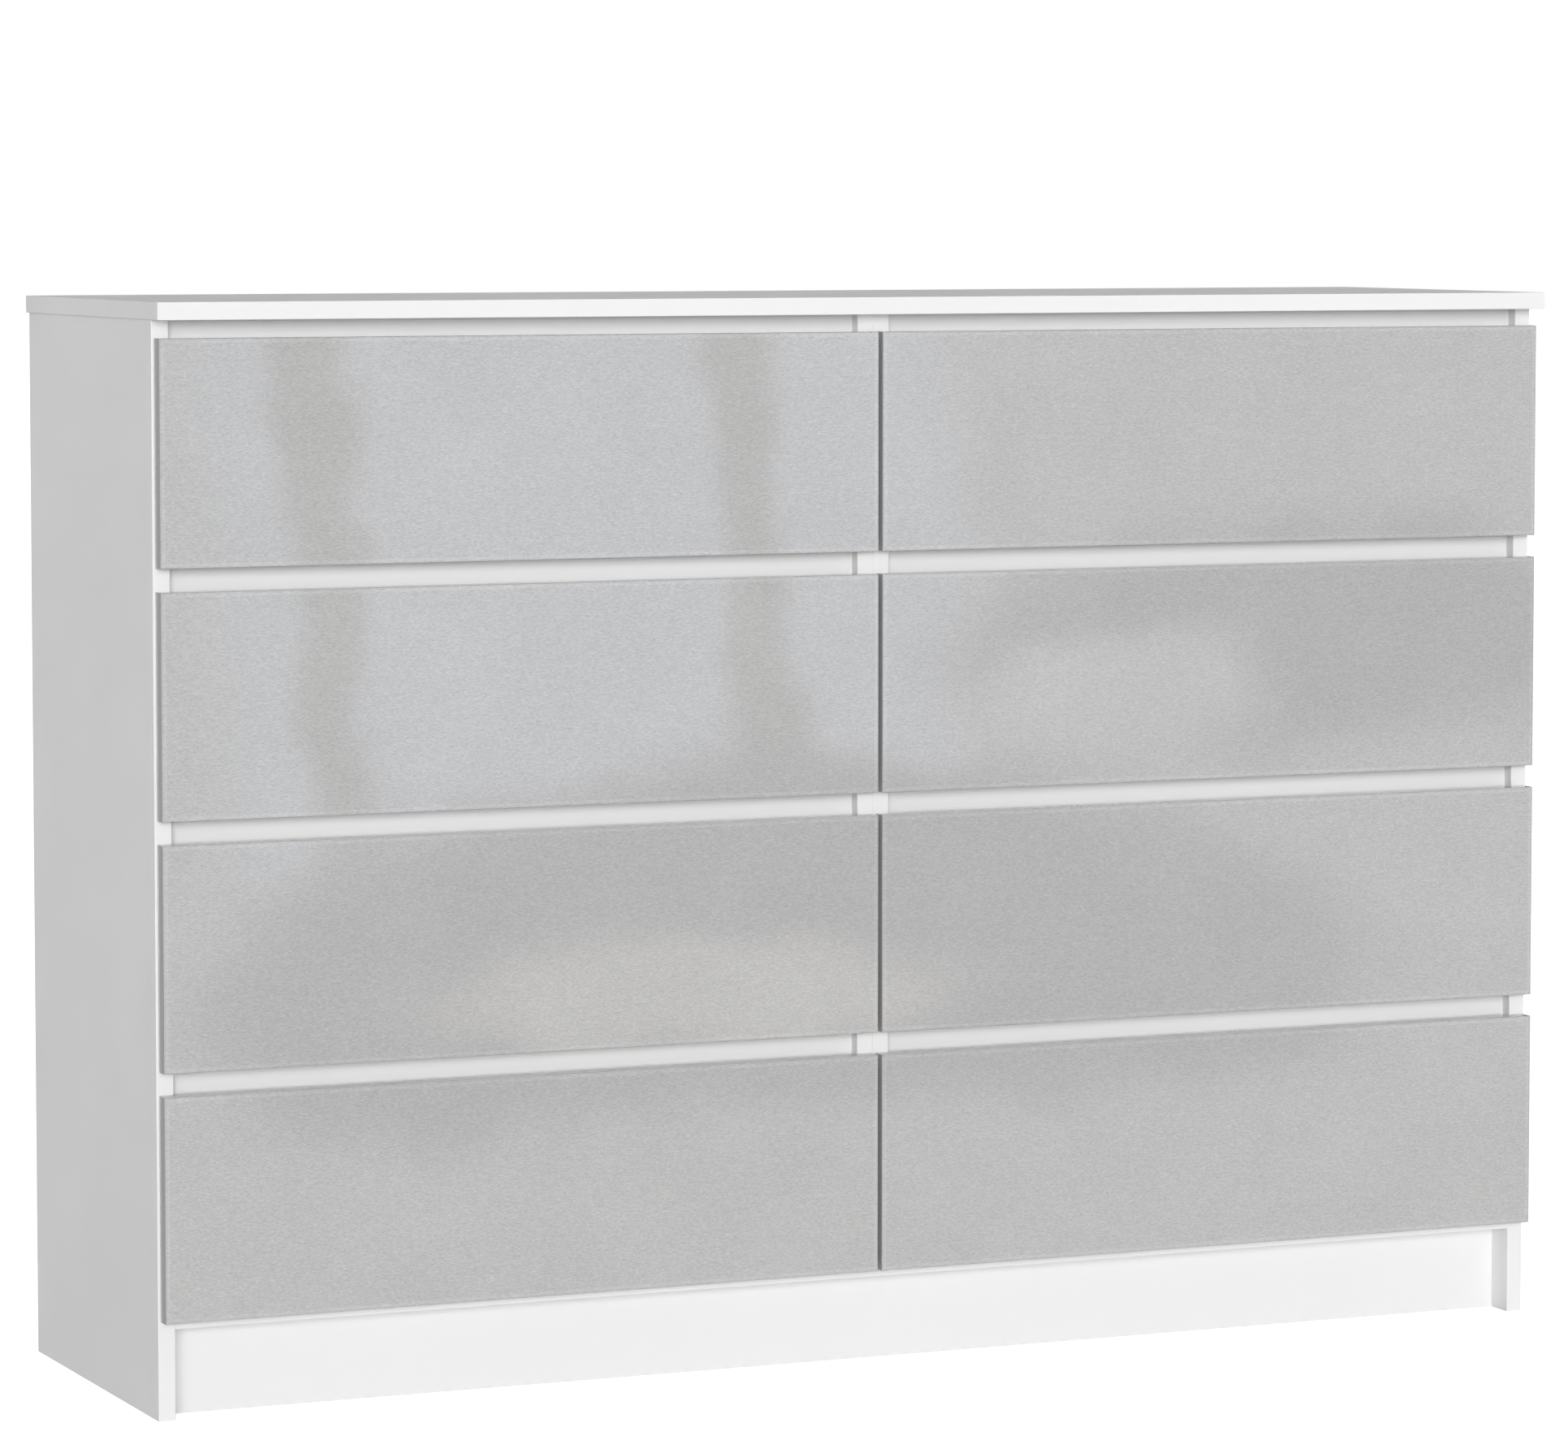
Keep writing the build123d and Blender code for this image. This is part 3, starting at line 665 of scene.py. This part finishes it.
def room_light(g):
    """The room's colour in the direction of a mirrored ray."""
    way = g.split(g.node("ShaderNodeTexCoord").outputs["Generated"])
    spot = room_spot(g, way)
    seen = WHITE
    for *shape, brightness in ROOM_SHAPES:
        seen = g.mix(room_shape(g, spot, *shape), seen, brightness)
    mottle = g.noise(spot, ROOM_MOTTLE_CELLS, detail=3)
    level = g.remap(way["Y"], 0, ROOM_BEHIND_FROM, ROOM_LEVEL, ROOM_LEVEL_BEHIND)
    return g.tinted(seen, level, g.shade(mottle, ROOM_MOTTLE))


def floor_material():
    """Pale and matt, with a glow that makes it as white to the camera as the backdrop."""
    material, g = new_material("pale_floor")
    seen = g.node("ShaderNodeLightPath").outputs["Is Camera Ray"]
    mottle = g.noise(g.place(), cells=3, detail=3)
    finish_material(
        g,
        Base_Color=g.tinted(FLOOR_GREY, g.shade(mottle, 0.01)),
        Roughness=0.9,
        Emission_Color=WHITE,
        Emission_Strength=g.math("MULTIPLY_ADD", seen, FLOOR_SEEN_GLOW - FLOOR_GLOW, FLOOR_GLOW),
    )
    return material


def add_floor():
    """A square floor under the dresser, hidden from glossy surfaces."""
    corners = [(x * FLOOR_HALF, y * FLOOR_HALF, 0) for x, y in ((-1, -1), (1, -1), (1, 1), (-1, 1))]
    mesh = bpy.data.meshes.new("studio_floor")
    mesh.from_pydata(corners, [], [(0, 1, 2, 3)])
    mesh.materials.append(floor_material())
    floor = bpy.data.objects.new("studio_floor", mesh)
    bpy.context.scene.collection.objects.link(floor)
    floor.visible_glossy = False


def add_sun(name, strength, azimuth, elevation, size):
    """A soft far light, which glossy surfaces don't mirror."""
    light = bpy.data.lights.new(name, "SUN")
    light.energy = strength
    light.angle = math.radians(size)
    across, up = math.radians(azimuth), math.radians(elevation)
    towards = Vector((math.sin(across) * math.cos(up), -math.cos(across) * math.cos(up), math.sin(up)))
    sun = bpy.data.objects.new(name, light)
    sun.rotation_euler = towards.to_track_quat("Z", "Y").to_euler()
    sun.visible_glossy = False
    bpy.context.scene.collection.objects.link(sun)


def add_world():
    """White to the camera, dim and even to matt surfaces, and a room to glossy ones."""
    world = bpy.data.worlds.new("studio")
    world.use_nodes = True
    bpy.context.scene.world = world
    g = Graph(world.node_tree)
    path = g.node("ShaderNodeLightPath").outputs

    def background(colour, strength):
        return g.node("ShaderNodeBackground", {"Color": colour, "Strength": strength}).outputs[0]

    def either(choice, no, yes):
        return g.node("ShaderNodeMixShader", {0: path[choice], 1: no, 2: yes}).outputs[0]

    lit = either("Is Glossy Ray", background(WHITE, AMBIENT), background(room_light(g), 1.0))
    both = either("Is Camera Ray", lit, background(WHITE, 1.0))
    g.node("ShaderNodeOutputWorld", {"Surface": both})


# The photo's viewing angle, worked out from the straight edges of the dresser in it.
CAMERA_PLACE = (-2.375, -5.422, 1.090)
CAMERA_TURN = 23.53             # degrees to the right of the view along +Y
CAMERA_DOWN = 4.14
CAMERA_LENS = 142.8             # millimetres, as is the sensor's width
CAMERA_SENSOR = 36
CAMERA_SHIFT = -0.05
CAMERA_REACH = 60


def add_camera():
    data = bpy.data.cameras.new("camera")
    data.sensor_width = CAMERA_SENSOR
    data.lens = CAMERA_LENS
    data.shift_y = CAMERA_SHIFT
    data.clip_end = CAMERA_REACH
    camera = bpy.data.objects.new("camera", data)
    camera.location = CAMERA_PLACE
    camera.rotation_euler = (math.radians(90 - CAMERA_DOWN), 0, math.radians(-CAMERA_TURN))
    bpy.context.scene.collection.objects.link(camera)
    bpy.context.scene.camera = camera


def main():
    bpy.context.scene.view_settings.view_transform = "Standard"
    materials = make_materials()
    dress_nodes(materials)
    silicone = clear_silicone("clear_silicone")
    for drawer in DRAWERS:
        add_bumpers(drawer, silicone)
        add_box_cams(drawer, materials["cam_zinc"])
        add_box_screws(drawer, materials["zinc_steel"])
    add_floor()
    add_sun("key", *KEY)
    add_sun("side_light", *SIDE_LIGHT)
    add_sun("fill", *FILL)
    add_sun("top_light", *TOP_LIGHT)
    add_world()
    add_camera()


main()
